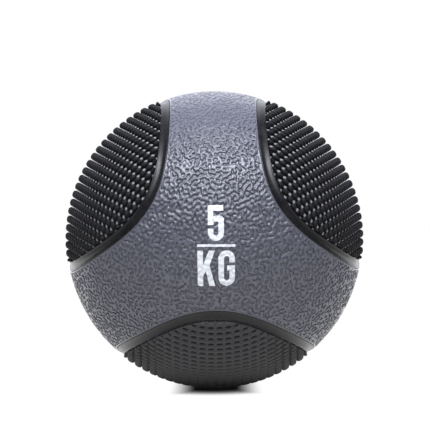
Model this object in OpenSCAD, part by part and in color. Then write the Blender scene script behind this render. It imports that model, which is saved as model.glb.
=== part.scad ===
// Medicine ball: a studded, two-tone rubber ball with a weighted wall and an air-filled bladder.
// The origin is the ball's centre, +Z is up, and the weight mark's side of the cover faces -Y.
// Four three-cornered grip patches point at the corners of a tetrahedron: one back, two front, one under.

/* [Ball] */
// Radius of the grey cover's outer surface
ball_r = 115; // [100:1:130]
// Thickness of the outer cover
cover_t = 5; // [4:0.5:7]
// Thickness of the weighted rubber core under the cover
core_t = 18; // [10:1:22]
// Thickness of the nylon thread winding round the bladder
winding_t = 1.5; // [1:0.25:3]
// Thickness of the butyl bladder's wall
bladder_t = 1.5; // [1:0.25:3]

/* [Grip patches] */
// Mean angle from a patch's centre to the outside of its rim
rim_angle = 41.04; // [38:0.02:43]
// How much further the rim's three corners reach, in degrees
rim_corner = 2.81; // [1:0.01:4]
// Mean angle from a patch's centre to the edge of its stud field
field_angle = 37.1; // [33:0.02:38]
// How much further the stud field's three corners reach, in degrees
field_corner = 2.65; // [1:0.01:4]
// Second ripple that tightens both outlines' corners, in degrees
corner_ripple = 0.22; // [0:0.01:0.5]
// Depth of the smooth rim below the grey cover
rim_recess = 1.2; // [0.5:0.1:2]
// Depth of the floor between the studs below the grey cover
floor_recess = 1.8; // [1.5:0.1:3.5]
// Sides of each outline
outline_sides = 96; // [48:12:96]

/* [Studs] */
// Height of the stud tips above the grey cover
stud_proud = 0.8; // [0:0.1:1.5]
// Diameter of a stud at the floor
stud_base_d = 4.9; // [4:0.1:5]
// Diameter of a stud at its flat tip
stud_tip_d = 2.6; // [1:0.1:3]
// Angle between neighbouring columns of studs, a quarter turn from the patch's foremost grey point
column_pitch = 3.35; // [3.2:0.05:4]
// How far the columns close up towards that point, as a share of their pitch
column_taper = 0.09; // [0:0.01:0.12]
// Angle between neighbouring rows of studs
row_pitch = 2.57; // [2.5:0.01:3.5]
// Angle from the patch's foremost grey point to the first row of studs
first_row = 32.3; // [31:0.1:34]

/* [Valve] */
// Diameter of the valve housing's stem
stem_d = 11; // [9:0.5:14]
// Diameter of the valve housing's flange inside the bladder
flange_d = 36; // [24:1:44]
// Thickness of that flange
flange_t = 2; // [1.5:0.25:3]
// Depth of the valve's mouth below the grey cover
mouth_recess = 0.6; // [0.2:0.1:1]
// Diameter of the self-sealing valve core
plug_d = 5.2; // [4:0.1:7]
// Length of the valve core
plug_l = 20; // [14:1:22]
// Diameter of the needle bore
needle_d = 2.2; // [1.8:0.1:3]
// Depth of the needle bore
needle_l = 16; // [10:1:18]
// Diameter of the air passage under the valve core
passage_d = 1.6; // [1:0.1:2.4]

/* [Hidden] */

BACK = 0;
LEFT = 1;
RIGHT = 2;
UNDER = 3;

$fn = 144;
// Facets of one stud's circle
stud_fn = 16;

core_r = ball_r - cover_t;
winding_r = core_r - core_t;
bladder_r = winding_r - winding_t;
air_r = bladder_r - bladder_t;
rim_r = ball_r - rim_recess;
floor_r = ball_r - floor_recess;
stud_tip_r = ball_r + stud_proud;
mouth_r = ball_r - mouth_recess;
// The stud's foot sinks this far into the pad, so the two join
stud_root = 0.8;
// Every cutter reaches this far from the centre
reach = ball_r * 1.6;

// Angle between a patch's centre and each of the three grey points around it
grey_point = acos(1 / 3);
// The stud lattice runs this far from the middle column, and to this angle, before the field's edge cuts it
last_column = 12;
last_row = 120;
// Studs this close to the field's edge, in degrees, are left out
stud_edge = asin(stud_base_d / 2 / floor_r) + 0.15;

// Grey of the cover, black of the grips, and the inner layers
grey = [0.36, 0.37, 0.42];
black = [0.07, 0.07, 0.08];

// Angle from a patch's centre to its outline in the direction phi, where 0 is a corner
function outline(mean, corner, phi) = mean + corner * cos(3 * phi) + corner_ripple * cos(6 * phi);

// Unit vector at the polar angle rho and the direction phi about +Z
function ray(rho, phi) = [sin(rho) * cos(phi), sin(rho) * sin(phi), cos(rho)];

// Angle of a column of studs where it crosses a row: the columns lie closer together towards the front
function column_angle(row, column) = column * column_pitch * (1 - column_taper * cos(row));

// Centre of the stud in one row and column, about a patch centre on +Z with a corner towards +X
function stud_at(row, column) =
    let (across = sin(column_angle(row, column)), along = cos(row))
    across * [0, 1, 0] + along * ray(grey_point, 0)
        + sqrt(max(0, 1 - across * across - along * along)) * ray(90 - grey_point, 180);

// How far inside the stud field's edge a unit vector lies, in degrees
function field_depth(p) = outline(field_angle, field_corner, atan2(p.y, p.x)) - acos(p.z);

// Turns a patch built on +Z with a corner towards +X to its place on the ball
module at_patch(i) {
    if (i == BACK)
        rotate([0, 0, -90]) rotate([0, -90, 0]) children();
    else
        rotate([0, 120 * i, 0]) rotate([90 + grey_point, 0, 0]) rotate([0, 0, 90]) children();
}

// Turns a shape built on +Z to the valve's place, opposite the patch underneath
module at_valve() {
    rotate([grey_point - 90, 0, 0]) children();
}

// Solid cone of rays from the ball's centre through one outline
module outline_cone(mean, corner) {
    n = outline_sides;
    edge = [for (k = [0:n - 1]) reach * ray(outline(mean, corner, 360 * k / n), 360 * k / n)];
    sides = [for (k = [0:n - 1]) [0, 2 + k, 2 + (k + 1) % n]];
    cap = [for (k = [0:n - 1]) [1, 2 + (k + 1) % n, 2 + k]];
    polyhedron(concat([[0, 0, 0], [0, 0, reach]], edge), concat(sides, cap));
}

// Spherical shell between two radii
module shell(inner_r, outer_r) {
    difference() {
        sphere(r = outer_r);
        sphere(r = inner_r);
    }
}

// Shell with the valve stem's hole through it
module pierced_shell(inner_r, outer_r) {
    difference() {
        shell(inner_r, outer_r);
        at_valve() cylinder(h = reach, d = stem_d);
    }
}

// Grey moulded cover with a window for each grip patch
module outer_cover() {
    color(grey)
    difference() {
        pierced_shell(core_r, ball_r);
        for (i = [BACK:UNDER])
            at_patch(i) outline_cone(rim_angle, rim_corner);
    }
}

// Smooth black border that frames one stud field, set below the grey cover
module rim(i) {
    color(black)
    at_patch(i)
    difference() {
        intersection() {
            shell(core_r, rim_r);
            outline_cone(rim_angle, rim_corner);
        }
        outline_cone(field_angle, field_corner);
    }
}

// Tapered stud with its foot in the floor of the pad
module stud() {
    translate([0, 0, floor_r - stud_root])
        cylinder(h = stud_tip_r - floor_r + stud_root, d1 = stud_base_d, d2 = stud_tip_d, $fn = stud_fn);
}

// Black pad with its field of studs, in columns that run towards the patch's foremost corner.
// A groove between two columns runs along the middle of the pad.
module grip_pad(i) {
    color(black)
    at_patch(i)
    union() {
        intersection() {
            // Turned so that the spheres' poles lie outside the patch
            rotate([90, 0, 0]) shell(core_r, floor_r);
            outline_cone(field_angle, field_corner);
        }
        for (column = [0.5 - last_column:last_column])
            for (row = [first_row:row_pitch:last_row])
                let (p = stud_at(row, column))
                    if (field_depth(p) > stud_edge)
                        rotate([0, acos(p.z), atan2(p.y, p.x)]) stud();
    }
}

// One hemisphere of the weighted rubber core
module core_half(side) {
    color([0.16, 0.15, 0.14])
    intersection() {
        pierced_shell(winding_r, core_r);
        translate([-reach, -reach, side > 0 ? 0 : -reach]) cube([2 * reach, 2 * reach, reach]);
    }
}

// Layer of nylon thread wound round the bladder
module thread_winding() {
    color([0.85, 0.83, 0.76])
    pierced_shell(bladder_r, winding_r);
}

// Butyl bladder that holds the air
module bladder() {
    color([0.2, 0.2, 0.21])
    pierced_shell(air_r, bladder_r);
}

// Rubber valve housing: a flange inside the bladder and a stem that ends in the cover
module valve_housing() {
    color([0.12, 0.12, 0.13])
    at_valve()
    difference() {
        union() {
            intersection() {
                shell(air_r - flange_t, air_r);
                cylinder(h = reach, d = flange_d);
            }
            translate([0, 0, air_r - flange_t / 2]) cylinder(h = mouth_r - air_r + flange_t / 2, d = stem_d);
        }
        translate([0, 0, mouth_r - plug_l]) cylinder(h = plug_l + 1, d = plug_d);
        cylinder(h = mouth_r, d = passage_d);
    }
}

// Self-sealing rubber core of the valve, with a blind bore for the pump's needle
module valve_core() {
    color([0.5, 0.5, 0.52])
    at_valve()
    difference() {
        translate([0, 0, mouth_r - plug_l]) cylinder(h = plug_l, d = plug_d);
        translate([0, 0, mouth_r - needle_l]) cylinder(h = needle_l + 1, d = needle_d);
    }
}

outer_cover();
rim(BACK);  // rim_back
rim(LEFT);  // rim_left
rim(RIGHT);  // rim_right
rim(UNDER);  // rim_under
grip_pad(BACK);  // grip_pad_back
grip_pad(LEFT);  // grip_pad_left
grip_pad(RIGHT);  // grip_pad_right
grip_pad(UNDER);  // grip_pad_under
core_half(1);  // core_upper
core_half(-1);  // core_lower
thread_winding();
bladder();
valve_housing();
valve_core();
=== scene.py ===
# Looks of the medicine ball: grained grey cover, satin rims, studded grip pads, printed weight mark.
# Lengths are millimetres until a mesh is made, but for the stage's, which say metres.
# Angles in named values are degrees.
import math

import bmesh
import bpy
import numpy as np
from mathutils import Matrix, Vector

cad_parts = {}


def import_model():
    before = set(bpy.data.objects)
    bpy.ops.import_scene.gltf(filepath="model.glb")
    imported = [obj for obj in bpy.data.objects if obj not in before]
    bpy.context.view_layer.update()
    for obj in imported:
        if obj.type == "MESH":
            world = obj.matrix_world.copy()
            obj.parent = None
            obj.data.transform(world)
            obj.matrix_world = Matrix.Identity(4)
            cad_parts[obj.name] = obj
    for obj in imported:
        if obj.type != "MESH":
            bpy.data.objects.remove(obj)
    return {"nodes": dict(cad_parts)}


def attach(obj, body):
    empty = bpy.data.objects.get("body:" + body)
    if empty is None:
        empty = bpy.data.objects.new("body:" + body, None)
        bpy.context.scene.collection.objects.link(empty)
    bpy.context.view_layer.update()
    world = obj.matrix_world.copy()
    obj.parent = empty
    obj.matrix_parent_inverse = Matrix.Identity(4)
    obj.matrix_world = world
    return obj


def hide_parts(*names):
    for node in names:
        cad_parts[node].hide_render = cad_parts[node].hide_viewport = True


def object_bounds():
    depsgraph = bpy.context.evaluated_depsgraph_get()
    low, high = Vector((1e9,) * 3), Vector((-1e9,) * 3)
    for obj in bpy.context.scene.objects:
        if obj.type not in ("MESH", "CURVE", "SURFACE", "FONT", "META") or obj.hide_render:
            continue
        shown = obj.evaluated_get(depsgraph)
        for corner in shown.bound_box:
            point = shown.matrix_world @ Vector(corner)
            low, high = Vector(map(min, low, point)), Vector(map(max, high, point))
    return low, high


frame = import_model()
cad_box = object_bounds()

MM = 0.001
# Points that agree to so many decimals of a millimetre are one point, and sides of two cells one side
WELD_DECIMALS = 4
SIDE_DECIMALS = 3
# Edges with a sharper angle than this, in degrees, aren't shaded smooth
SHARP = 50

# ---- Ball, with the CAD source's driving values ----
BALL_R = 115.0
COVER_T = 5.0
RIM_RECESS = 1.2
FLOOR_RECESS = 1.8
# A little less than the CAD's 0.8, so that the domed studs stay inside the CAD's box
STUD_PROUD = 0.75
CORE_R = BALL_R - COVER_T
RIM_R = BALL_R - RIM_RECESS
FLOOR_R = BALL_R - FLOOR_RECESS
STUD_TIP_R = BALL_R + STUD_PROUD
# Angle between a patch's centre and each of the three grey points around it
GREY_POINT = math.degrees(math.acos(1 / 3))
# Mean angle of an outline, and how much further its corners reach: the outside of a rim, and the stud field
RIM_OUTLINE = (41.04, 2.81)
FIELD_OUTLINE = (37.1, 2.65)
CORNER_RIPPLE = 0.22
PATCHES = ("back", "left", "right", "under")
# Every cutter reaches this far from the ball's centre
CUTTER_REACH = BALL_R * 1.6

# ---- Cover ----
# Points round each patch, and open rows from a window to the line halfway to the next patch
COVER_SPOKES = 960
COVER_RINGS = 76
# Distances from a window of the close rows that carry its rounded edge
EDGE_STEPS = (0, 0.06, 0.2, 0.4, 0.65, 0.95, 1.4)
EDGE_ROUND = 0.6
WINDOW_WALL_ROWS = 4
INSIDE_ROWS = 6
# The ridges' tops lie this far inside the ball's radius, and the smooth border beside a window further still
SKIN_DROP = 0.12
BORDER_DROP = 0.16

# ---- Grain ----
GRAIN_SEED = 11
GRAIN_WAVES = 300
# Mean length of a wave, and the range of factors on its frequency
GRAIN_LENGTH = 3.1
GRAIN_RANGE = (0.85, 1.15)
GRAIN_HEIGHT = 0.8
# The flank of a ridge rises between these values of the field
GRAIN_FROM, GRAIN_TO = -0.75, 0.0
# A share of the height is a slower crown over each ridge, which ends at this value of the field
CROWN_TO, CROWN_SHARE = 1.7, 0.45
# The relief loses this share over the top of the ball, between two heights of the unit vector
FAINT_FROM, FAINT_TO, FAINT_SHARE = 0.6, 0.8, 0.6
# Value of the field where there is no grain
NO_GRAIN = -1.5
# Distances from a window over which the grain comes in
GRAIN_MARGIN = (0.7, 1.8)
# The bump of the ridges starts and ends this much inside the flank
RIDGE_INSET = 0.1

# ---- Rims ----
RIM_SPOKES = 360
RIM_GAP = 0.25
RIM_DISH = 0.45
RIM_CORNER = 0.6
# Raised lip along the studs, and how far its end goes down beside them
LIP_WIDTH = 1.3
LIP_HEIGHT = 0.35
LIP_FOOT = 0.5
CORNER_POINTS, DISH_POINTS, LIP_POINTS = 5, 15, 9
RIM_SHARP = 60

# ---- Studs ----
# The lattice has the CAD source's pitches and runs this many columns to each side and rows back
COLUMN_PITCH = 3.35
COLUMN_TAPER = 0.09
ROW_PITCH = 2.57
FIRST_ROW = 32.3
LAST_COLUMN = 12
LAST_ROW = 33
# Half sizes of a stud, as shares of its cell
STUD_HALF_ACROSS = 0.45
UNDER_HALF_ACROSS = 0.49
STUD_HALF_ALONG = 0.43
# A lower power makes a fuller dome
STUD_FULLNESS = 0.75
STUD_SIDES = 24
STUD_RINGS = 7
# Underneath, the floor rises between columns and joins their studs: its rise, the part of a cell that it
# takes, and the columns over which it fades
UNDER_BRIDGE = 2.0
BRIDGE_SPAN = (0.12, 0.45)
BRIDGE_FADE = (5, 10)
# Cells are made up to this far outside the field, which is then cut this far inside its outline
FIELD_OVERHANG = 4.5
FIELD_GAP = 0.35
FIELD_SPOKES = 360
# Half sizes of the painted glint where the gaps cross, a pale patch in place of a reflection in the floor, in
# cells, and how high it reaches above the floor
PAINTED_GLINT_ACROSS = 0.22
PAINTED_GLINT_ALONG = 0.27
PAINTED_GLINT_HEIGHT = 0.3

# ---- Valve ----
VALVE_TILT = GREY_POINT - 90
HOLE_R = 5.7
HOLE_SIDES = 96
DRILL_LENGTH = 40
# The cover is smooth round the valve; the grain comes in over the last part of this radius
VALVE_FLAT = 10.0
VALVE_FADE = 1.0

# ---- Weight mark ----
GLYPH_H = 25.4
STROKE = 3.9
NUMBER_W = 11.3
LETTER_K_W = 12.4
LETTER_G_W = 11.7
UNIT_W = 26.5
BAR_W, BAR_H = 26.9, 1.8
# The mark's middle lies this far to the right of the front point, and the bar begins this far from the unit's
# left edge. The heights are the lower edges of the parts.
MARK_SHIFT = 1.1
BAR_SHIFT = -0.2
NUMBER_Y, BAR_Y, UNIT_Y = -1.5, -5.6, -33.6
# Thickness of the ink, the share of the grain's depth that it fills, how far its back sinks into the cover,
# and the size of its grid
INK_T = 0.07
INK_FILL = 0.35
INK_ROOT = 0.2
INK_CELL = 0.7


# ---------------------------------------------------------------- directions and outlines

def turn(axis, degrees):
    """3 by 3 rotation about one axis, in double precision so that the patches' grids meet exactly."""
    c, s = math.cos(math.radians(degrees)), math.sin(math.radians(degrees))
    first = ("XYZ".index(axis) + 1) % 3
    second = (first + 1) % 3
    made = np.eye(3)
    made[first, first] = made[second, second] = c
    made[first, second], made[second, first] = -s, s
    return made


def patch_turn(name):
    """Rotation from a patch built on +Z, with a corner towards +X, to its place on the ball."""
    if name == "back":
        return turn("Z", -90) @ turn("Y", -90)
    spin = {"left": 120, "right": 240, "under": 0}[name]
    return turn("Y", spin) @ turn("X", 90 + GREY_POINT) @ turn("Z", 90)


def ray(rho, phi):
    """Unit vectors at the polar angle rho and the direction phi about +Z."""
    rho, phi = np.broadcast_arrays(rho, phi)
    return np.stack([np.sin(rho) * np.cos(phi), np.sin(rho) * np.sin(phi), np.cos(rho)], -1)


def outline(shape, phi):
    """Angle from a patch's centre to its outline in the direction phi, where 0 is a corner."""
    mean, corner = shape
    return np.radians(mean + corner * np.cos(3 * phi) + CORNER_RIPPLE * np.cos(6 * phi))


def halfway(phi):
    """Angle from a patch's centre to the line halfway to the next patch, in the direction phi."""
    third = 2 * math.pi / 3
    from_side = np.mod(phi, third) - third / 2
    return np.arctan2(math.sqrt(2), np.cos(from_side))


def smoothstep(low, high, x):
    """Smooth rise from 0 at low to 1 at high."""
    t = np.clip((x - low) / (high - low), 0, 1)
    return t * t * (3 - 2 * t)


# ---------------------------------------------------------------- the cover's surface

def grain(directions):
    """Field of random waves at each unit vector, whose high parts are the ridges of the moulded grain."""
    random = np.random.default_rng(GRAIN_SEED)
    waves = random.normal(size=(GRAIN_WAVES, 3))
    waves /= np.linalg.norm(waves, axis=1, keepdims=True)
    waves *= 2 * math.pi * BALL_R / GRAIN_LENGTH * random.uniform(*GRAIN_RANGE, (GRAIN_WAVES, 1))
    phases = random.uniform(0, 2 * math.pi, GRAIN_WAVES)
    total = np.zeros(len(directions))
    for wave, phase in zip(waves, phases):
        total += np.cos(directions @ wave + phase)
    return total * math.sqrt(2 / GRAIN_WAVES)


def window_distance(directions):
    """How far each unit vector lies outside the nearest rim's outline, in millimetres along the surface."""
    nearest = np.full(len(directions), np.inf)
    for name in PATCHES:
        local = directions @ patch_turn(name)
        phi = np.arctan2(local[:, 1], local[:, 0])
        rho = np.arccos(np.clip(local[:, 2], -1, 1))
        nearest = np.minimum(nearest, (rho - outline(RIM_OUTLINE, phi)) * BALL_R)
    return nearest


def valve_axis():
    """Unit vector from the ball's centre through the valve."""
    return turn("X", VALVE_TILT) @ np.array([0, 0, 1.0])


def relief(directions):
    """Share of the grain's full depth at each unit vector: it is fainter over the crown of the ball."""
    return 1 - FAINT_SHARE * smoothstep(FAINT_FROM, FAINT_TO, directions[:, 2])


def cover_height(directions):
    """(radius, grain field) of the cover's outer surface at each unit vector."""
    edge = window_distance(directions)
    from_valve = np.arccos(np.clip(directions @ valve_axis(), -1, 1)) * BALL_R - HOLE_R
    smooth_ring = VALVE_FLAT - HOLE_R
    shown = smoothstep(*GRAIN_MARGIN, edge) * smoothstep(smooth_ring - VALVE_FADE, smooth_ring, from_valve)
    field = NO_GRAIN + (grain(directions) - NO_GRAIN) * shown
    raised = smoothstep(GRAIN_FROM, GRAIN_TO, field) * (1 - CROWN_SHARE)
    raised = raised + smoothstep(GRAIN_FROM, CROWN_TO, field) * CROWN_SHARE
    drop = GRAIN_HEIGHT * relief(directions) * (1 - raised) * shown + BORDER_DROP * (1 - shown)
    for distance in (edge, from_valve):
        inward = np.clip(EDGE_ROUND - distance, 0, EDGE_ROUND)
        drop = drop + EDGE_ROUND - np.sqrt(EDGE_ROUND ** 2 - inward ** 2)
    return BALL_R - SKIN_DROP - drop, field


# ---------------------------------------------------------------- meshes

def weld(points, faces):
    """Points and faces with the points that lie in one place made one."""
    rounded = np.round(points, WELD_DECIMALS)
    _, first, same = np.unique(rounded, axis=0, return_index=True, return_inverse=True)
    return points[first], [tuple(same.reshape(-1)[list(face)]) for face in faces]


def grid_faces(rows, columns, start=0):
    """Quads of a grid whose last column joins its first."""
    faces = []
    for r in range(rows - 1):
        for c in range(columns):
            a, b = start + r * columns + c, start + r * columns + (c + 1) % columns
            faces.append((a, b, b + columns, a + columns))
    return faces


def make(name, points, faces, sharp=SHARP):
    """Object in metres from points in millimetres, smooth but for edges sharper than so many degrees."""
    mesh = bpy.data.meshes.new(name)
    mesh.from_pydata((np.asarray(points) * MM).tolist(), [], [[int(i) for i in face] for face in faces])
    mesh.update()
    piece = bpy.data.objects.new(name, mesh)
    bpy.context.scene.collection.objects.link(piece)
    face_out(mesh)
    soften(mesh, sharp)
    return piece


def face_out(mesh):
    """Turns a closed mesh's faces outwards."""
    work = bmesh.new()
    work.from_mesh(mesh)
    bmesh.ops.recalc_face_normals(work, faces=work.faces)
    if work.calc_volume(signed=True) < 0:
        bmesh.ops.reverse_faces(work, faces=work.faces)
    work.to_mesh(mesh)
    work.free()


def soften(mesh, sharp):
    """Shades a mesh smooth but for edges sharper than so many degrees."""
    mesh.shade_smooth()
    mesh.set_sharp_from_angle(angle=math.radians(sharp))


def cut(piece, cutter, operation):
    """Cuts piece with cutter, which is then removed. Both have to be closed, or nothing is cut."""
    step = piece.modifiers.new("cut", "BOOLEAN")
    step.operation = operation
    step.solver = "MANIFOLD"
    step.object = cutter
    bpy.context.view_layer.update()
    evaluated = piece.evaluated_get(bpy.context.evaluated_depsgraph_get())
    made = bpy.data.meshes.new_from_object(evaluated)
    piece.modifiers.remove(step)
    piece.data = made
    made.name = piece.name
    bpy.data.objects.remove(cutter)
    soften(made, SHARP)


def positions(mesh):
    """The mesh's points in millimetres."""
    flat = np.zeros(len(mesh.vertices) * 3, np.float32)
    mesh.vertices.foreach_get("co", flat)
    return flat.reshape(-1, 3).astype(float) / MM


def store(mesh, name, values):
    """Keeps one number a point on the mesh, for its material to read."""
    attribute = mesh.attributes.new(name, "FLOAT", "POINT")
    attribute.data.foreach_set("value", np.asarray(values, np.float32))


def field_cutter():
    """Closed cone of rays through the stud field's outline, drawn in by the gap to the rim."""
    phi = np.arange(FIELD_SPOKES) * 2 * math.pi / FIELD_SPOKES
    edge = ray(outline(FIELD_OUTLINE, phi) - FIELD_GAP / BALL_R, phi) * CUTTER_REACH
    points = np.vstack([[[0, 0, 0]], [[0, 0, CUTTER_REACH]], edge])
    following = [(k + 1) % FIELD_SPOKES for k in range(FIELD_SPOKES)]
    faces = [(0, 2 + k, 2 + n) for k, n in enumerate(following)]
    faces += [(1, 2 + n, 2 + k) for k, n in enumerate(following)]
    return make("field_cutter", points, faces)


# ---------------------------------------------------------------- cover

def cover_angles():
    """Polar angles about a patch of the cover's inside rows and of its outside rows."""
    phi = np.arange(COVER_SPOKES) * 2 * math.pi / COVER_SPOKES
    near, far = outline(RIM_OUTLINE, phi), halfway(phi)
    edge_rows = [near + step / BALL_R for step in EDGE_STEPS]
    last = edge_rows[-1]
    open_rows = [last + (far - last) * t for t in np.linspace(0, 1, COVER_RINGS + 1)[1:]]
    inside = [far + (near - far) * t for t in np.linspace(0, 1, INSIDE_ROWS)]
    return phi, np.stack(inside), np.stack(edge_rows + open_rows)


def drill():
    """Closed cylinder along the valve's axis, which cuts its hole."""
    bpy.ops.mesh.primitive_cylinder_add(vertices=HOLE_SIDES, radius=HOLE_R * MM, depth=DRILL_LENGTH * MM)
    made = bpy.context.active_object
    axis = Vector(valve_axis())
    upright = axis.to_track_quat("Z", "Y").to_matrix().to_4x4()
    made.matrix_world = Matrix.Translation(axis * BALL_R * MM) @ upright
    return made


def cover():
    """Grey cover: one closed shell of four patch-centred grids that meet halfway between the patches."""
    phi, inside, outer = cover_angles()
    walls = np.linspace(0, 1, WINDOW_WALL_ROWS + 1)[1:]
    points, faces = [], []
    for name in PATCHES:
        to_place = patch_turn(name).T
        under = ray(inside, phi) @ to_place * CORE_R
        over = (ray(outer, phi) @ to_place).reshape(-1, 3)
        over = (over * cover_height(over)[0][:, None]).reshape(len(outer), COVER_SPOKES, 3)
        wall = [under[-1] + (over[0] - under[-1]) * t for t in walls[:-1]]
        rows = np.concatenate([under, np.array(wall), over])
        faces += grid_faces(len(rows), COVER_SPOKES, sum(len(p) for p in points))
        points.append(rows.reshape(-1, 3))
    piece = make("cover", *weld(np.vstack(points), faces))
    cut(piece, drill(), "DIFFERENCE")
    at = positions(piece.data)
    length = np.linalg.norm(at, axis=1)
    outside = length > BALL_R - EDGE_ROUND * 2
    store(piece.data, "grain", np.where(outside, cover_height(at / length[:, None])[1], NO_GRAIN))
    store(piece.data, "relief", relief(at / length[:, None]))
    return piece


# ---------------------------------------------------------------- rims

def rim_profile():
    """Rim's section from its outside foot: (share of the width, millimetres inwards from there, radius)."""
    middle = (CORE_R + RIM_R) / 2
    profile = [(0, 0, CORE_R), (0, 0, middle)]
    for a in np.linspace(0, math.pi / 2, CORNER_POINTS):
        profile.append((0, RIM_CORNER * (1 - math.cos(a)), RIM_R - RIM_CORNER * (1 - math.sin(a))))
    for t in np.linspace(0, 1, DISH_POINTS)[1:-1]:
        inwards = RIM_CORNER * (1 - t) - LIP_WIDTH * t
        profile.append((t, inwards, RIM_R - RIM_DISH * math.sin(math.pi * t)))
    for a in np.linspace(math.pi, 0, LIP_POINTS):
        foot = LIP_FOOT if a == 0 else 0
        profile.append((1, LIP_WIDTH / 2 * (math.cos(a) - 1), RIM_R + LIP_HEIGHT * math.sin(a) - foot))
    profile += [(1, 0, middle), (1, 0, CORE_R), (0.5, 0, CORE_R)]
    return profile


def rim(name):
    """Satin band round one pad: dished, with a round outer corner and a raised lip along the studs."""
    phi = np.arange(RIM_SPOKES) * 2 * math.pi / RIM_SPOKES
    outer = outline(RIM_OUTLINE, phi) - RIM_GAP / BALL_R
    inner = outline(FIELD_OUTLINE, phi)
    rows = []
    for share, inwards, radius in rim_profile():
        rows.append(ray(outer + (inner - outer) * share - inwards / BALL_R, phi) * radius)
    rows = np.stack(rows + [rows[0]])
    points = rows.reshape(-1, 3) @ patch_turn(name).T
    return make("rim_band_" + name, *weld(points, grid_faces(len(rows), RIM_SPOKES)), sharp=RIM_SHARP)


# ---------------------------------------------------------------- grip pads

def lattice(row, column):
    """Unit vectors at rows and columns of the stud lattice, about a patch on +Z with a corner towards +X."""
    theta = np.radians(FIRST_ROW + row * ROW_PITCH)
    across = np.sin(np.radians(column * COLUMN_PITCH) * (1 - COLUMN_TAPER * np.cos(theta)))
    along = np.cos(theta)
    foremost, inwards = ray(math.radians(GREY_POINT), 0.0), ray(math.radians(90 - GREY_POINT), math.pi)
    left = np.sqrt(np.maximum(0, 1 - across ** 2 - along ** 2))
    across, along, left = (np.asarray(x)[..., None] for x in (across, along, left))
    return across * np.array([0, 1.0, 0]) + along * foremost + left * inwards


def lattice_place(p):
    """Row and column of each unit vector, the reverse of lattice()."""
    theta = np.arccos(np.clip(p @ ray(math.radians(GREY_POINT), 0.0), -1, 1))
    column = np.degrees(np.arcsin(p[:, 1])) / (COLUMN_PITCH * (1 - COLUMN_TAPER * np.cos(theta)))
    return (np.degrees(theta) - FIRST_ROW) / ROW_PITCH, column


def field_depth(p):
    """How far inside the stud field's outline a unit vector lies, in millimetres."""
    edge = outline(FIELD_OUTLINE, np.arctan2(p[..., 1], p[..., 0]))
    return (edge - np.arccos(np.clip(p[..., 2], -1, 1))) * BALL_R


def field_cells():
    """Row and column of every cell of the lattice that may reach into the stud field."""
    for row in range(-1, LAST_ROW):
        for step in range(-LAST_COLUMN, LAST_COLUMN):
            column = step + 0.5
            if field_depth(lattice(row, column)) >= -FIELD_OVERHANG:
                yield row, column


def cell_edge():
    """STUD_SIDES points evenly round a cell of the lattice, from -0.5 to 0.5 each way."""
    side = np.arange(STUD_SIDES // 4) / (STUD_SIDES // 4) - 0.5
    half = np.full(len(side), 0.5)
    u = np.concatenate([half, -side, -half, side])
    v = np.concatenate([side, half, -side, -half])
    return u, v


def stud_cell(row, column, half_across, bridge):
    """Points of one cell: the stud's tip, its rings from the top down, the cell's edge, the edge's foot."""
    edge_u, edge_v = cell_edge()
    psi = np.arctan2(edge_v, edge_u)
    raised = bridge * smoothstep(*BRIDGE_SPAN, np.abs(edge_u))
    floor = (FLOOR_R + raised * (1 - smoothstep(*BRIDGE_FADE, np.abs(column + edge_u))))[:, None]
    rings = [lattice(row, column)[None] * STUD_TIP_R]
    for angle in np.linspace(0, math.pi / 2, STUD_RINGS + 1)[1:]:
        u = half_across * math.sin(angle) ** STUD_FULLNESS * np.cos(psi)
        v = STUD_HALF_ALONG * math.sin(angle) ** STUD_FULLNESS * np.sin(psi)
        radius = floor + (STUD_TIP_R - floor) * max(0, math.cos(angle))
        rings.append(lattice(row + v, column + u) * radius)
    edge = lattice(row + edge_v, column + edge_u)
    return np.vstack([*rings, edge * floor, edge * CORE_R])


def cell_faces(start):
    """Faces of a cell whose points begin at start, and apart from them the quads down its sides."""
    n = STUD_SIDES
    follow = [(k + 1) % n for k in range(n)]
    faces = [(start, start + 1 + k, start + 1 + f) for k, f in enumerate(follow)]
    for r in range(STUD_RINGS):
        a, b = start + 1 + r * n, start + 1 + (r + 1) * n
        faces += [(a + k, b + k, b + f, a + f) for k, f in enumerate(follow)]
    top, low = start + 1 + STUD_RINGS * n, start + 1 + (STUD_RINGS + 1) * n
    faces.append(tuple(low + k for k in reversed(range(n))))
    return faces, [(top + k, low + k, low + f, top + f) for k, f in enumerate(follow)]


def mark_pad(mesh, painted_glints):
    """Keeps each point's height on its stud, and how near it is to the crossing of the gaps, which sets the
    painted glint there.
    """
    at = positions(mesh)
    radius = np.linalg.norm(at, axis=1)
    row, column = lattice_place(at / radius[:, None])
    across, along = np.abs(column - np.round(column)), np.abs(row - np.floor(row) - 0.5)
    # Painted glint: pale where the gaps cross, in place of a reflection in the floor between the studs
    painted_glint = np.clip(1 - across / PAINTED_GLINT_ACROSS - along / PAINTED_GLINT_ALONG, 0, 1) * (radius < FLOOR_R + PAINTED_GLINT_HEIGHT)
    store(mesh, "height", (radius - FLOOR_R) / (STUD_TIP_R - FLOOR_R))
    store(mesh, "gap", painted_glint * painted_glints)


def grip_pad(name):
    """Pad of rubber with a dome in each cell of the lattice, cut to the field's outline."""
    under = name == "under"
    half_across, bridge = (UNDER_HALF_ACROSS, UNDER_BRIDGE) if under else (STUD_HALF_ACROSS, 0)
    points, faces, walls = [], [], {}
    for row, column in field_cells():
        cell = stud_cell(row, column, half_across, bridge)
        tops, sides = cell_faces(len(points) * len(cell))
        points.append(cell)
        faces += tops
        foot = cell[-STUD_SIDES:]
        for k, side in enumerate(sides):
            # Two cells share a side, and only the sides with one cell are walls
            place = tuple(np.round(foot[k] + foot[(k + 1) % STUD_SIDES], SIDE_DECIMALS) + 0.0)
            walls[place] = None if place in walls else side
    faces += [side for side in walls.values() if side]
    piece = make("pad_" + name, *weld(np.vstack(points), faces))
    cut(piece, field_cutter(), "INTERSECT")
    # The pad underneath gets no painted glint
    mark_pad(piece.data, painted_glints=not under)
    piece.data.transform(Matrix(patch_turn(name)).to_4x4())
    return piece


# ---------------------------------------------------------------- weight mark

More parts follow.
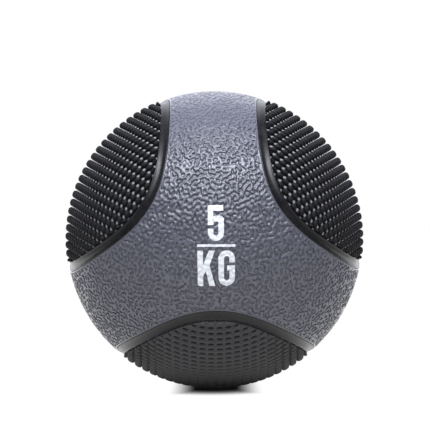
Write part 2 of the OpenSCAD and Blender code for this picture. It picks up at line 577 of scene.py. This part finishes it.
def arc(x, y, radius, start, end, steps=10):
    """Points of an arc, from one angle to another in degrees."""
    angles = np.radians(np.linspace(start, end, steps))
    return [(x + radius * math.cos(a), y + radius * math.sin(a)) for a in angles]


def five():
    """Outline of the number, whose lower left corner is at 0, 0."""
    w, h, s, bowl = NUMBER_W, GLYPH_H, STROKE, NUMBER_W / 2
    return [(0, h), (w - 0.4, h), (w - 0.4, h - s - 0.2), (s, h - s - 0.2), (s, h - 8.4), (s + 1.4, h - 7.6),
            *arc(w - 2.8, h - 10.4, 2.8, 90, 0), *arc(bowl, bowl, bowl, 0, -180, 20), (0, 8.7), (s, 8.7),
            *arc(bowl, bowl, bowl - s, 180, 360), *arc(w - s - 1.2, h - 12.9, 1.2, 0, 90, 5),
            (s, h - 11.7), (s, h - 14.2), (0, h - 14.2)]


def letter_k():
    """Outline of the unit's first letter."""
    w, h, s = LETTER_K_W, GLYPH_H, STROKE
    return [(0, 0), (0, h), (s, h), (s, h - 10.2), (w - s - 0.3, h), (w, h), (w - s, h - 10.6),
            (w, 0), (w - s - 0.3, 0), (5.9, h - 14.6), (s, h - 18.2), (s, 0)]


def letter_g():
    """Outline of the unit's second letter."""
    w, h, s, bend = LETTER_G_W, GLYPH_H, STROKE, LETTER_G_W / 2
    return [(w, h - 8.5), (w - s, h - 8.5),
            *arc(bend, h - bend, bend - s, 0, 180), *arc(bend, bend, bend - s, 180, 360),
            (w - s, h - 14.3), (6.1, h - 14.3), (6.1, h - 10.7), (w, h - 10.7),
            *arc(bend, bend, bend, 0, -180, 20), *arc(bend, h - bend, bend, 180, 0, 20)]


def bar():
    """Outline of the bar between number and unit."""
    return [(0, 0), (BAR_W, 0), (BAR_W, BAR_H), (0, BAR_H)]


def printed(name, shape, x, y):
    """One printed shape laid over the cover's grain, its lower left corner at x, y from the front point."""
    work = bmesh.new()
    work.faces.new([work.verts.new((px + x, py + y, 0)) for px, py in shape])
    bmesh.ops.triangulate(work, faces=work.faces)
    for axis in (Vector((1, 0, 0)), Vector((0, 1, 0))):
        reach = [v.co @ axis for v in work.verts]
        for step in range(math.ceil(min(reach) / INK_CELL), math.floor(max(reach) / INK_CELL) + 1):
            every = work.verts[:] + work.edges[:] + work.faces[:]
            place = axis * step * INK_CELL
            bmesh.ops.bisect_plane(work, geom=every, dist=1e-5, plane_co=place, plane_no=axis)
    bmesh.ops.remove_doubles(work, verts=work.verts, dist=1e-4)
    flat = np.array([v.co[:2] for v in work.verts])
    work.verts.index_update()
    tops = [[v.index for v in face.verts] for face in work.faces]
    rims = [[v.index for v in edge.verts] for edge in work.edges if len(edge.link_faces) == 1]
    work.free()
    away = np.maximum(np.hypot(*flat.T), 1e-9)
    angle = away / BALL_R
    sideways, upwards = np.sin(angle) * flat[:, 0] / away, np.sin(angle) * flat[:, 1] / away
    directions = np.stack([sideways, -np.cos(angle), upwards], -1)
    radius = cover_height(directions)[0][:, None]
    filled = radius + INK_FILL * (BALL_R - SKIN_DROP - radius) + INK_T
    n = len(flat)
    points = np.vstack([directions * filled, directions * (radius - INK_ROOT)])
    faces = tops + [[i + n for i in reversed(face)] for face in tops]
    faces += [[a, b, b + n, a + n] for a, b in rims]
    return make(name, points, faces)


# ---------------------------------------------------------------- materials

class Nodes:
    """Adds nodes to one node tree and links them."""

    def __init__(self, tree, coordinates="Object"):
        self.tree = tree
        self.place = self.add("ShaderNodeTexCoord").outputs[coordinates]

    def add(self, kind, inputs=None, **settings):
        """New node, with its inputs given by name or number as values or as sockets to link."""
        node = self.tree.nodes.new(kind)
        for key, value in settings.items():
            setattr(node, key, value)
        for key, value in (inputs or {}).items():
            self.put(node.inputs[key], value)
        return node

    def put(self, socket, value):
        """Links a socket to an input, or sets the input to a value."""
        if isinstance(value, bpy.types.NodeSocket):
            self.tree.links.new(value, socket)
        else:
            socket.default_value = value

    def spread(self, value, low, high, to_low, to_high, **settings):
        """Value moved from one range to another, and held within it."""
        ranges = {"Value": value, "From Min": low, "From Max": high, "To Min": to_low, "To Max": to_high}
        return self.add("ShaderNodeMapRange", ranges, **settings).outputs["Result"]

    def smooth(self, value, span, to_low, to_high):
        """Value moved smoothly from one number to another while it crosses a span."""
        return self.spread(value, *span, to_low, to_high, interpolation_type="SMOOTHSTEP")

    def number(self, operation, *values):
        """Result of one Math node."""
        return self.add("ShaderNodeMath", dict(enumerate(values)), operation=operation).outputs[0]

    def seen_or_lit(self, seen, lit):
        """Shader that the camera sees as one thing and that lights the ball as another."""
        to_camera = self.add("ShaderNodeLightPath").outputs["Is Camera Ray"]
        choices = {0: to_camera, 1: lit.outputs[0], 2: seen.outputs[0]}
        return self.add("ShaderNodeMixShader", choices).outputs[0]


class Material(Nodes):
    """One procedural material: its shader, and the textures that vary it over the surface."""

    def __init__(self, name):
        self.material = bpy.data.materials.new(name)
        self.material.use_nodes = True
        super().__init__(self.material.node_tree)
        self.shader = self.tree.nodes["Principled BSDF"]

    def noise(self, size, detail=3.0, roughness=0.55):
        """Noise with features of about so many millimetres."""
        shape = {"Vector": self.place, "Scale": 1 / (size * MM), "Detail": detail, "Roughness": roughness}
        return self.add("ShaderNodeTexNoise", shape).outputs["Fac"]

    def cells(self, size):
        """Distance to the middle of the nearest cell, for cells of about so many millimetres."""
        shape = {"Vector": self.place, "Scale": 1 / (size * MM)}
        return self.add("ShaderNodeTexVoronoi", shape).outputs["Distance"]

    def attribute(self, name):
        """Number kept on the mesh's points by store()."""
        return self.add("ShaderNodeAttribute", attribute_name=name).outputs["Fac"]

    def mix(self, share, first, second):
        """Colour between the first and the second."""
        node = self.add("ShaderNodeMix", data_type="RGBA")
        self.put(node.inputs["Factor"], share)
        self.put(node.inputs["A"], first)
        self.put(node.inputs["B"], second)
        return node.outputs["Result"]

    def bump(self, height, distance, normal=None):
        """Bump whose full height is so many millimetres, over another one if there is one."""
        node = self.add("ShaderNodeBump", {"Height": height, "Distance": distance * MM})
        if normal is not None:
            self.put(node.inputs["Normal"], normal)
        return node.outputs["Normal"]

    def finish(self, **inputs):
        """The material, with these inputs of its shader set; an underscore stands for a space."""
        for key, value in inputs.items():
            self.put(self.shader.inputs[key.replace("_", " ")], value)
        return self.material


def grey_rubber():
    """Cover: paler on the ridges of its grain, with faint clouds and specks."""
    n = Material("grey_rubber")
    ground, top = (0.070, 0.072, 0.090, 1), (0.081, 0.083, 0.104, 1)
    cloud, speck = (0.094, 0.096, 0.116, 1), (0.115, 0.115, 0.13, 1)
    ridge_from, ridge_to = GRAIN_FROM + RIDGE_INSET, GRAIN_TO - RIDGE_INSET
    ridge = n.spread(n.attribute("grain"), ridge_from, ridge_to, 0, n.attribute("relief"))
    shade = n.mix(ridge, ground, top)
    shade = n.mix(n.spread(n.noise(22, 4), 0.35, 0.65, 0, 0.16), shade, cloud)
    shade = n.mix(n.spread(n.noise(0.5, 2), 0.62, 0.72, 0, 0.25), shade, speck)
    rough = n.spread(n.noise(1.6, 3), 0.3, 0.7, 0.16, 0.25)
    fine = n.bump(n.noise(0.35, 2), 0.01, n.bump(ridge, 1.1))
    return n.finish(Base_Color=shade, Roughness=rough, Normal=n.bump(n.noise(1.3, 3), 0.04, fine))


def satin_black():
    """Rims: smooth and deep black, with a little dust."""
    n = Material("satin_black")
    dark, light, dust = (0.005, 0.005, 0.006, 1), (0.010, 0.010, 0.011, 1), (0.07, 0.07, 0.075, 1)
    shade = n.mix(n.spread(n.noise(12, 4), 0.35, 0.65, 0, 1), dark, light)
    shade = n.mix(n.spread(n.noise(0.6, 2), 0.64, 0.74, 0, 0.15), shade, dust)
    rough = n.spread(n.noise(3, 4), 0.3, 0.7, 0.24, 0.32)
    fine = n.bump(n.noise(0.4, 2), 0.006)
    return n.finish(Base_Color=shade, Roughness=rough, Specular_IOR_Level=0.31,
                    Normal=n.bump(n.noise(2.5, 3), 0.02, fine))


def grip_black(name, black):
    """Pads: one black, a painted glint (pale where the gaps cross, in place of a reflection in the floor),
    dust, and a floor that is glossier than the studs.
    """
    n = Material(name)
    painted_glint_colour, dust = (0.27, 0.27, 0.28, 1), (0.06, 0.06, 0.065, 1)
    # Painted glint: pale colour where the gaps cross, standing in for a reflection
    shade = n.mix(n.spread(n.attribute("gap"), 0.05, 0.5, 0, 1), black, painted_glint_colour)
    shade = n.mix(n.spread(n.noise(0.5, 2), 0.62, 0.72, 0, 0.2), shade, dust)
    rough = n.spread(n.attribute("height"), 0.02, 0.2, 0.12, 0.6)
    fine = n.bump(n.noise(0.35, 2), 0.01)
    return n.finish(Base_Color=shade, Roughness=rough, Specular_IOR_Level=0.12,
                    Normal=n.bump(n.noise(1.5, 3), 0.04, fine))


def print_ink():
    """Weight mark: near white, rubbed thin in spots."""
    n = Material("print_ink")
    fresh, rubbed = (0.61, 0.63, 0.66, 1), (0.36, 0.37, 0.41, 1)
    shade = n.mix(n.spread(n.noise(1.5, 4, 0.8), 0.50, 0.64, 0, 0.55), fresh, rubbed)
    rough = n.spread(n.noise(1.2, 3), 0.3, 0.7, 0.45, 0.6)
    return n.finish(Base_Color=shade, Roughness=rough, Normal=n.bump(n.noise(0.4, 2), 0.015))


def core_rubber():
    """Weighted core: coarse bonded crumb."""
    n = Material("core_rubber")
    middle, edge, chip = (0.035, 0.031, 0.027, 1), (0.012, 0.011, 0.010, 1), (0.10, 0.09, 0.08, 1)
    crumb = n.cells(2.2)
    shade = n.mix(n.spread(crumb, 0.1, 0.7, 0, 1), middle, edge)
    shade = n.mix(n.spread(n.noise(0.8, 3), 0.6, 0.75, 0, 0.5), shade, chip)
    return n.finish(Base_Color=shade, Roughness=n.spread(n.noise(2, 3), 0.3, 0.7, 0.7, 0.85),
                    Normal=n.bump(crumb, 0.3))


def nylon_thread():
    """Winding: strands laid in three directions, in patches."""
    n = Material("nylon_thread")
    strands = []
    for tilt in (0.4, 1.5, 2.6):
        turned = n.add("ShaderNodeVectorRotate", {"Vector": n.place, "Angle": tilt, "Axis": (0.3, 1.0, 0.5)})
        bands = n.add("ShaderNodeTexWave", {"Vector": turned.outputs[0], "Scale": 220.0, "Distortion": 0.6})
        strands.append(bands.outputs["Fac"])
    laid = n.mix(n.spread(n.noise(25, 2), 0.45, 0.5, 0, 1), strands[0], strands[1])
    laid = n.mix(n.spread(n.noise(32, 2), 0.5, 0.55, 0, 1), laid, strands[2])
    shade = n.mix(n.spread(laid, 0, 1, 0, 1), (0.33, 0.31, 0.25, 1), (0.72, 0.70, 0.62, 1))
    return n.finish(Base_Color=shade, Roughness=n.spread(laid, 0, 1, 0.65, 0.4),
                    Normal=n.bump(laid, 0.35))


def butyl_rubber():
    """Bladder: black with a grey bloom."""
    n = Material("butyl_rubber")
    bloom = n.spread(n.noise(30, 5, 0.65), 0.4, 0.7, 0, 1)
    shade = n.mix(bloom, (0.018, 0.018, 0.020, 1), (0.060, 0.060, 0.064, 1))
    return n.finish(Base_Color=shade, Roughness=n.spread(bloom, 0, 1, 0.35, 0.6),
                    Normal=n.bump(n.noise(1.2, 3), 0.04))


def valve_rubber(name, dark, light):
    """Valve parts: plain rubber between two tones."""
    n = Material(name)
    shade = n.mix(n.spread(n.noise(2.5, 4), 0.35, 0.65, 0, 1), dark, light)
    return n.finish(Base_Color=shade, Roughness=n.spread(n.noise(1, 3), 0.3, 0.7, 0.45, 0.6),
                    Normal=n.bump(n.noise(0.4, 2), 0.015))


def dress(piece, material):
    """Gives a piece one material."""
    piece.data.materials.clear()
    piece.data.materials.append(material)


# ---------------------------------------------------------------- the ball's pieces

def fit(piece, material, slot, *nodes):
    """Gives a new piece its material and says where it belongs in the frame."""
    dress(piece, material)
    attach(piece, "root")
    if nodes:
        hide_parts(*nodes)


satin, ink = satin_black(), print_ink()
grip = grip_black("grip_black", (0.008, 0.008, 0.009, 1))
# The pad underneath gets a paler copy of the same black: painted light for the pad that lies in shade under
# the ball
under_grip_painted_light = grip_black("grip_painted_lighter", (0.046, 0.046, 0.048, 1))
fit(cover(), grey_rubber(), "cover_rubber", "outer_cover")
for patch in PATCHES:
    fit(rim(patch), satin, "rim_rubber", "rim_" + patch)
    fit(grip_pad(patch), under_grip_painted_light if patch == "under" else grip, "grip_rubber", "grip_pad_" + patch)

unit_x = MARK_SHIFT - UNIT_W / 2
fit(printed("mark_number", five(), MARK_SHIFT - NUMBER_W / 2, NUMBER_Y), ink, "print_ink")
fit(printed("mark_bar", bar(), unit_x + BAR_SHIFT, BAR_Y), ink, "print_ink")
fit(printed("mark_unit_k", letter_k(), unit_x, UNIT_Y), ink, "print_ink")
fit(printed("mark_unit_g", letter_g(), unit_x + UNIT_W - LETTER_G_W, UNIT_Y), ink, "print_ink")

# Inner pieces keep the CAD's own meshes
housing = valve_rubber("valve_rubber", (0.010, 0.010, 0.011, 1), (0.02, 0.02, 0.022, 1))
seal = valve_rubber("valve_seal", (0.16, 0.16, 0.17, 1), (0.24, 0.24, 0.25, 1))
for node in ("core_upper", "core_lower"):
    dress(frame["nodes"][node], core_rubber())
dress(frame["nodes"]["thread_winding"], nylon_thread())
dress(frame["nodes"]["bladder"], butyl_rubber())
dress(frame["nodes"]["valve_housing"], housing)
dress(frame["nodes"]["valve_core"], seal)

# ---------------------------------------------------------------- stage, light and camera

# Camera: distance, half angle of its view, and the small turns that match the photograph, in degrees
CAMERA_AWAY = 9.5 * BALL_R
HALF_VIEW = 8.74
CAMERA_UP = 0.976
CAMERA_LEFT = -0.033
CAMERA_ROLL = -0.55
SENSOR = 36.0
# The camera sees between these distances, in metres
CLIP = (0.01, 100)

# World as light: strength in front and behind, the backdrop's tilt, and where it comes in along its axis
ROOM_FRONT, ROOM_BACK = 0.12, 1.7
BACKDROP_TILT, BACKDROP_EDGE = 10, (0.55, 0.95)

# Half the floor's width, in metres
FLOOR_HALF = 20.0
# Floor as light: a pool round the ball, dimmer further out, then the bright sweep behind; the edges in metres
FLOOR_LIGHT, FLOOR_AWAY = 1.2, 0.38
POOL_EDGE, POOL_NARROW = (0.3, 0.65), 1.3
SWEEP_EDGE = (0.0, 0.25)
# Openness of the floor over which it comes to its full light from under the ball
UNDER_EDGE = (0.14, 0.55)

# Floor as seen: tones of the shadow's middle and of the open floor, and the openness between them
SHADOW_TONE, FLOOR_TONE = 0.004, 1.02
SHADOW_EDGE = (0.06, 0.38)
# How far the openness looks, in millimetres
SHADOW_REACH = 35.0
SHADOW_SAMPLES = 32
# Metres to each side over which the shadow ends
SHADOW_SIDE = (0.015, 0.038)

COOL_WHITE = (0.90, 0.92, 1.0)
# Name, place and size in metres, power in watts, and whether reflections show it
SOFTBOXES = (
    ("key", (0.0, -0.82, 1.26), (1.8, 0.4), 29, True),
    ("wide", (0.0, -0.99, 1.18), (1.8, 1.7), 31, True),
    ("top", (0.0, 0.3, 1.5), (1.2, 1.0), 58, False),
)


def floor_white():
    """Floor's material: white with a contact shadow to the camera, and graded as light."""
    material = bpy.data.materials.new("floor_white")
    material.use_nodes = True
    material.node_tree.nodes.clear()
    n = Nodes(material.node_tree)
    parts = n.add("ShaderNodeSeparateXYZ", {0: n.place}).outputs
    reach = {"Distance": SHADOW_REACH * MM}
    openness = n.add("ShaderNodeAmbientOcclusion", reach, samples=SHADOW_SAMPLES).outputs["AO"]

    shadow = n.smooth(openness, SHADOW_EDGE, SHADOW_TONE, FLOOR_TONE)
    beside = n.smooth(n.number("ABSOLUTE", parts["X"]), SHADOW_SIDE, 0, FLOOR_TONE)
    seen = n.add("ShaderNodeEmission", {"Strength": n.number("MAXIMUM", shadow, beside)})

    narrowed = n.add("ShaderNodeVectorMath", operation="MULTIPLY")
    n.put(narrowed.inputs[0], n.place)
    n.put(narrowed.inputs[1], (POOL_NARROW, 1, 0))
    away = n.add("ShaderNodeVectorMath", {0: narrowed.outputs[0]}, operation="LENGTH").outputs["Value"]
    pool = n.smooth(away, POOL_EDGE, FLOOR_LIGHT, FLOOR_AWAY)
    sweep = n.smooth(parts["Y"], SWEEP_EDGE, FLOOR_AWAY, ROOM_BACK)
    under = n.spread(openness, *UNDER_EDGE, 0, 1)
    brighter = n.number("MAXIMUM", pool, sweep)
    lit = n.add("ShaderNodeEmission", {"Strength": n.number("MULTIPLY", under, brighter)})

    n.add("ShaderNodeOutputMaterial", {"Surface": n.seen_or_lit(seen, lit)})
    return material


def stage():
    """Plain floor at the ball's lowest point."""
    half, z = FLOOR_HALF, cad_box[0].z
    mesh = bpy.data.meshes.new("floor")
    corners = [(-half, -half, z), (half, -half, z), (half, half, z), (-half, half, z)]
    mesh.from_pydata(corners, [], [(0, 1, 2, 3)])
    mesh.materials.append(floor_white())
    floor = bpy.data.objects.new("floor", mesh)
    bpy.context.scene.collection.objects.link(floor)


def softbox(name, place, size, power, in_reflections):
    """Rectangular lamp that faces the ball."""
    lamp = bpy.data.lights.new(name, "AREA")
    lamp.shape = "RECTANGLE"
    lamp.size, lamp.size_y = size
    lamp.energy = power
    lamp.color = COOL_WHITE
    light = bpy.data.objects.new(name, lamp)
    light.location = place
    light.rotation_euler = (-Vector(place)).to_track_quat("-Z", "Y").to_euler()
    light.visible_glossy = in_reflections
    bpy.context.scene.collection.objects.link(light)


def world():
    """White to the camera; as light, a dark room in front of the ball and a bright backdrop behind it."""
    surroundings = bpy.data.worlds.new("studio")
    surroundings.use_nodes = True
    surroundings.node_tree.nodes.clear()
    n = Nodes(surroundings.node_tree, "Generated")
    tilt = {"Vector": n.place, "Angle": math.radians(-BACKDROP_TILT)}
    leant = n.add("ShaderNodeVectorRotate", tilt, rotation_type="X_AXIS").outputs[0]
    towards_back = n.add("ShaderNodeSeparateXYZ", {0: leant}).outputs["Y"]
    strength = n.smooth(towards_back, BACKDROP_EDGE, ROOM_FRONT, ROOM_BACK)
    room = n.add("ShaderNodeBackground", {"Color": (*COOL_WHITE, 1), "Strength": strength})
    backdrop = n.add("ShaderNodeBackground", {"Color": (1, 1, 1, 1)})
    n.add("ShaderNodeOutputWorld", {"Surface": n.seen_or_lit(backdrop, room)})
    bpy.context.scene.world = surroundings


def camera():
    """Camera in front of the ball, at the photograph's angle."""
    lens = bpy.data.cameras.new("camera")
    lens.sensor_width = SENSOR
    lens.lens = SENSOR / 2 / math.tan(math.radians(HALF_VIEW))
    lens.clip_start, lens.clip_end = CLIP
    left = Matrix.Rotation(math.radians(CAMERA_LEFT), 4, "Z")
    up = Matrix.Rotation(math.radians(90 + CAMERA_UP), 4, "X")
    roll = Matrix.Rotation(math.radians(CAMERA_ROLL), 4, "Z")
    view = bpy.data.objects.new("camera", lens)
    view.matrix_world = Matrix.Translation((0, -CAMERA_AWAY * MM, 0)) @ left @ up @ roll
    bpy.context.scene.collection.objects.link(view)
    bpy.context.scene.camera = view


stage()
world()
for box in SOFTBOXES:
    softbox(*box)
camera()
bpy.context.scene.view_settings.view_transform = "Standard"
